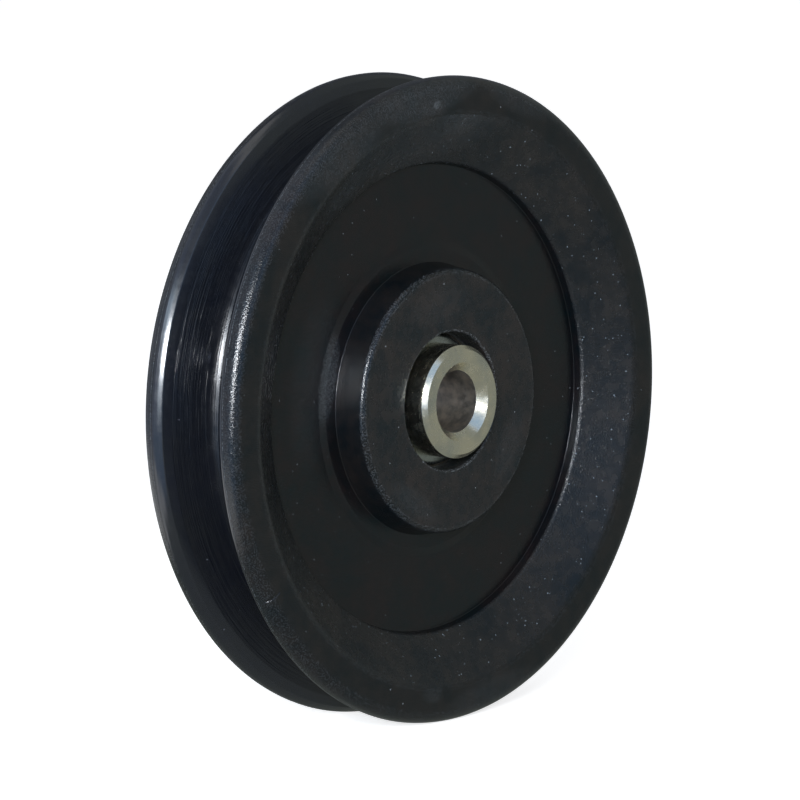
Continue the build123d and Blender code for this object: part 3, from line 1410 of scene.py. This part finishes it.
@dataclass
class ShieldedBearing:
    """The bearing's own pieces, which keep their solids and get their steel."""

    balls: int = 8

    def build(self) -> list[Piece]:
        """Dresses the rings, shields, cage, rivets and balls.

        Returns:
            The dressed objects.
        """
        wear = {
            "bearing_inner_ring": RING_STEEL,
            "bearing_outer_ring": RING_STEEL,
            "bearing_shield_front": SHIELD_STEEL,
            "bearing_shield_rear": SHIELD_STEEL,
            "bearing_cage_front": CAGE_STEEL,
            "bearing_cage_rear": CAGE_STEEL,
        }
        for number in range(1, self.balls + 1):
            wear[f"bearing_ball_{number}"] = BALL_STEEL
            wear[f"cage_rivet_{number}"] = RIVET_STEEL
        steels = {finish: finish.material() for finish in dict.fromkeys(wear.values())}
        for node, finish in wear.items():
            dress(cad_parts[node], steels[finish])
        return [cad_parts[node] for node in wear]


@dataclass
class GreaseAndShadeRing:
    """Grease that fills the gap between a shield's edge and the inner ring, dark enough to paint the
    shade in that gap.

    Every field is a size in millimetres, apart from the side and the two counts.
    """

    side: Side
    inner_radius: float = 10.78
    outer_radius: float = 11.55
    outer_face: float = 4.9
    thickness: float = 0.5
    rounding: float = 0.1
    parts: int = 96
    steps: int = 3

    def build(self, grease: Material) -> Piece:
        """Makes and dresses the ring.

        Args:
            grease: Its material, dark enough to paint the gap's shade.

        Returns:
            The ring's object.
        """
        inner_face = self.outer_face - self.thickness
        corners = np.array([
            (self.inner_radius, inner_face),
            (self.outer_radius, inner_face),
            (self.outer_radius, self.outer_face),
            (self.inner_radius, self.outer_face),
        ])
        radii = np.full(len(corners), self.rounding)
        outline = rounded_outline(on_side(self.side, corners), radii, self.steps)
        piece = TurnedSurface(f"bearing_grease_{self.side.name.lower()}", outline, self.parts).build()
        dress(piece, grease)
        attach(piece, "sheave")
        return piece


# ---- Studio -----------------------------------------------------------------------------


def seen_ray(sheet: Sheet) -> Socket:
    """Tells the rays that see or mirror a surface from those that only light it.

    Args:
        sheet: The tree that it is read in.

    Returns:
        One for camera, glossy and transmission rays, and nought for the rest.
    """
    path = sheet.put("ShaderNodeLightPath").outputs
    seen = sheet.calc("ADD", path["Is Camera Ray"], path["Is Glossy Ray"])
    seen = sheet.calc("ADD", seen, path["Is Transmission Ray"])
    return sheet.calc("MINIMUM", seen, 1.0)


def matt_board(name: str, grey: float, glow: Colour) -> tuple[Material, Sheet, Node]:
    """A matt grey material that glows.

    Args:
        name: The material's name.
        grey: Its own grey level.
        glow: Colour of its glow.

    Returns:
        The material, its node sheet and its shader node.
    """
    material, sheet, shader = new_material(name)
    shader.inputs["Base Color"].default_value = opaque((grey,) * 3)
    shader.inputs["Roughness"].default_value = 1.0
    shader.inputs["Specular IOR Level"].default_value = 0.0
    shader.inputs["Emission Color"].default_value = opaque(glow)
    return material, sheet, shader


@dataclass(frozen=True)
class Card:
    """A dim folded card that shows in the wheel's gloss and nowhere else.

    It lies flat from near to far and then stands up to its top edge.

    Args:
        name: The card's name.
        colour: How it shows.
        bearing: Where it lies round the wheel, in degrees from -Y towards +X.
        near: Distance of its near edge from the wheel's axis, in metres.
        far: Distance of its fold, in metres.
        width: Its width, in metres.
        top: Height of its top edge, in metres.
        lift: Its height above the floor, in mm.
    """

    name: str
    colour: Colour
    bearing: float
    near: float
    far: float
    width: float
    top: float
    lift: float

    def build(self, floor_height: float) -> None:
        """Lays the card out.

        Args:
            floor_height: Height of the floor, in metres.
        """
        a = math.radians(self.bearing)
        out = Vector((math.sin(a), -math.cos(a), 0.0))
        side = Vector((math.cos(a), math.sin(a), 0.0)) * (self.width / 2)
        low, high = Vector((0, 0, floor_height + self.lift * MM)), Vector((0, 0, self.top))
        rows = [out * self.near + low, out * self.far + low, out * self.far + high]
        points = [place + shift for place in rows for shift in (-side, side)]
        mesh = bpy.data.meshes.new(self.name)
        mesh.from_pydata(points, [], [(0, 1, 3, 2), (2, 3, 5, 4)])
        card = add_object(self.name, mesh)
        card.visible_camera = False
        card.visible_diffuse = False
        card.visible_shadow = False
        material, _, shader = matt_board(f"{self.name}_board", 0.02, self.colour)
        shader.inputs["Emission Strength"].default_value = 1.0
        dress(card, material)


@dataclass(frozen=True)
class Lamp:
    """A flat soft lamp that faces the wheel.

    Args:
        name: The lamp's name.
        aim: Direction from the wheel, as shares of right, up and back.
        distance: From the wheel, in metres.
        size: Its width and height, in metres.
        power: In watts.
        colour: Its light's colour.
    """

    name: str
    aim: tuple[float, float, float]
    distance: float
    size: tuple[float, float]
    power: float
    colour: Colour

    def build(self, back: Vector, right: Vector, up: Vector) -> None:
        """Puts the lamp up.

        Args:
            back: Direction from the wheel to the camera.
            right: The camera's right.
            up: The camera's up.
        """
        data = bpy.data.lights.new(self.name, "AREA")
        data.shape = "RECTANGLE"
        data.size, data.size_y = self.size
        data.energy = self.power
        data.color = self.colour
        lamp = add_object(self.name, data)
        aim = right * self.aim[0] + up * self.aim[1] + back * self.aim[2]
        lamp.location = aim.normalized() * self.distance
        lamp.rotation_mode = "QUATERNION"
        lamp.rotation_quaternion = lamp.location.to_track_quat("Z", "Y")


CARDS = (
    Card("card_right", (0.205, 0.225, 0.208), bearing=60.0,
         near=-0.08, far=0.30, width=0.9, top=1.6, lift=0.20),
    Card("card_front", (0.34, 0.50, 0.76), bearing=-15.0,
         near=0.06, far=1.20, width=0.8, top=2.0, lift=0.15),
    Card("card_side", (0.42, 0.50, 0.70), bearing=-92.0,
         near=0.18, far=0.90, width=0.9, top=5.0, lift=0.10),
    Card("card_left", (0.50, 0.56, 0.68), bearing=-135.0,
         near=0.20, far=0.60, width=1.2, top=4.5, lift=0.05),
    Card("card_back", (0.12, 0.13, 0.15), bearing=131.0,
         near=0.20, far=0.40, width=0.9, top=4.0, lift=0.25),
    Card("card_high", (0.30, 0.34, 0.42), bearing=-55.0,
         near=1.30, far=1.35, width=1.6, top=7.0, lift=0.30),
)
LAMPS = (
    Lamp("soft_front", aim=(-0.10, 0.12, 1.0), distance=1.0,
         size=(0.20, 0.16), power=10.0, colour=(0.93, 0.96, 1.0)),
    Lamp("soft_side", aim=(-0.42, 0.12, 1.0), distance=1.02,
         size=(0.60, 0.70), power=4.8, colour=(0.62, 0.81, 1.0)),
)


@dataclass
class Studio:
    """White floor and surroundings, the cards and soft lamps round them, and the camera.

    Args:
        azimuth: Camera's angle round the wheel, in degrees, from looking along +Y.
        elevation: Its height above the horizon, in degrees.
        distance: From the wheel's centre, in metres.
        lens: Focal length, in mm.
        sensor: Width of its sensor, in mm.
        nearest: What is nearer to the camera than this doesn't show, in metres.
        aside: How far the camera stands to the left of its line, in metres.
        below: How far it stands below its line, in metres.
        floor_height: Height of the floor, in metres.
        floor_half: Half the floor's width, in metres.
        floor_grey: Grey level of the floor's own skin.
        floor_glow: Strength at which the floor glows for seen rays.
        ambient: Colour of the surroundings where they only light.
    """

    azimuth: float = -48.7
    elevation: float = 6.7
    distance: float = 0.7875
    lens: float = 217.45
    sensor: float = 36.0
    nearest: float = 0.01
    aside: float = 0.001514
    below: float = 0.000546
    floor_height: float = -0.0526
    floor_half: float = 6.0
    floor_grey: float = 0.8
    floor_glow: float = 0.76
    ambient: Colour = (0.30, 0.31, 0.33)

    def axes(self) -> tuple[Vector, Vector, Vector]:
        """Directions of the camera's view.

        Returns:
            Unit directions back to the camera, to its right and up.
        """
        a, e = math.radians(self.azimuth), math.radians(self.elevation)
        back = Vector((math.sin(a) * math.cos(e), -math.cos(a) * math.cos(e), math.sin(e)))
        right = Vector((math.cos(a), math.sin(a), 0.0))
        return back, right, back.cross(right)

    def set_camera(self) -> None:
        """Makes the camera and puts it to use."""
        back, right, up = self.axes()
        data = bpy.data.cameras.new("camera")
        data.lens = self.lens
        data.sensor_width = self.sensor
        data.clip_start = self.nearest
        camera = add_object("camera", data)
        camera.location = back * self.distance - right * self.aside - up * self.below
        camera.rotation_mode = "QUATERNION"
        camera.rotation_quaternion = (-back).to_track_quat("-Z", "Y")
        bpy.context.scene.camera = camera

    def set_world(self) -> None:
        """White where it is seen or mirrored, and a soft grey where it only lights."""
        world = bpy.data.worlds.new("studio")
        world.use_nodes = True
        sheet = Sheet(world.node_tree)
        ground = world.node_tree.nodes["Background"]
        sheet.feed(ground.inputs["Color"], sheet.blend(seen_ray(sheet), self.ambient, WHITE))
        bpy.context.scene.world = world

    def set_floor(self) -> None:
        """A wide white floor that glows for seen rays and still takes the wheel's shadow."""
        square = np.array([(-1, -1), (1, -1), (1, 1), (-1, 1)]) * self.floor_half
        points = np.concatenate([square, np.full((4, 1), self.floor_height)], axis=1)
        mesh = bpy.data.meshes.new("floor")
        mesh.from_pydata(points.tolist(), [], [(0, 1, 2, 3)])
        floor = add_object("floor", mesh)
        material, sheet, shader = matt_board("floor_white", self.floor_grey, WHITE)
        glow = sheet.calc("MULTIPLY", seen_ray(sheet), self.floor_glow)
        sheet.feed(shader.inputs["Emission Strength"], glow)
        dress(floor, material)

    def build(self) -> None:
        """Sets up the camera, the surroundings and the lamps."""
        self.set_camera()
        self.set_world()
        self.set_floor()
        for card in CARDS:
            card.build(self.floor_height)
        for lamp in LAMPS:
            lamp.build(*self.axes())
        bpy.context.scene.view_settings.view_transform = "Standard"


def main() -> None:
    """Builds the pieces in order."""
    logging.basicConfig(level=logging.INFO, format="%(name)s: %(message)s")
    Studio().build()
    wheel = NylonWheel().build()
    LOG.info("wheel: %d faces", len(wheel.data.polygons))
    bush_steels = (BUSH_STEEL.material(), BORE_STEEL.material())
    for side in Side:
        bush = FlangedBush(side).build(*bush_steels)
        LOG.info("%s: %d faces", bush.name, len(bush.data.polygons))
    for node in ShieldedBearing().build():
        LOG.info("%s: dressed", node.name)
    # Dark rings of bearing grease, which also paint the shade in the gaps at the shields' edges.
    grease = BEARING_GREASE_AND_SHADE.material()
    for side in Side:
        ring = GreaseAndShadeRing(side).build(grease)
        LOG.info("%s: %d faces", ring.name, len(ring.data.polygons))


if __name__ == "__main__":
    main()
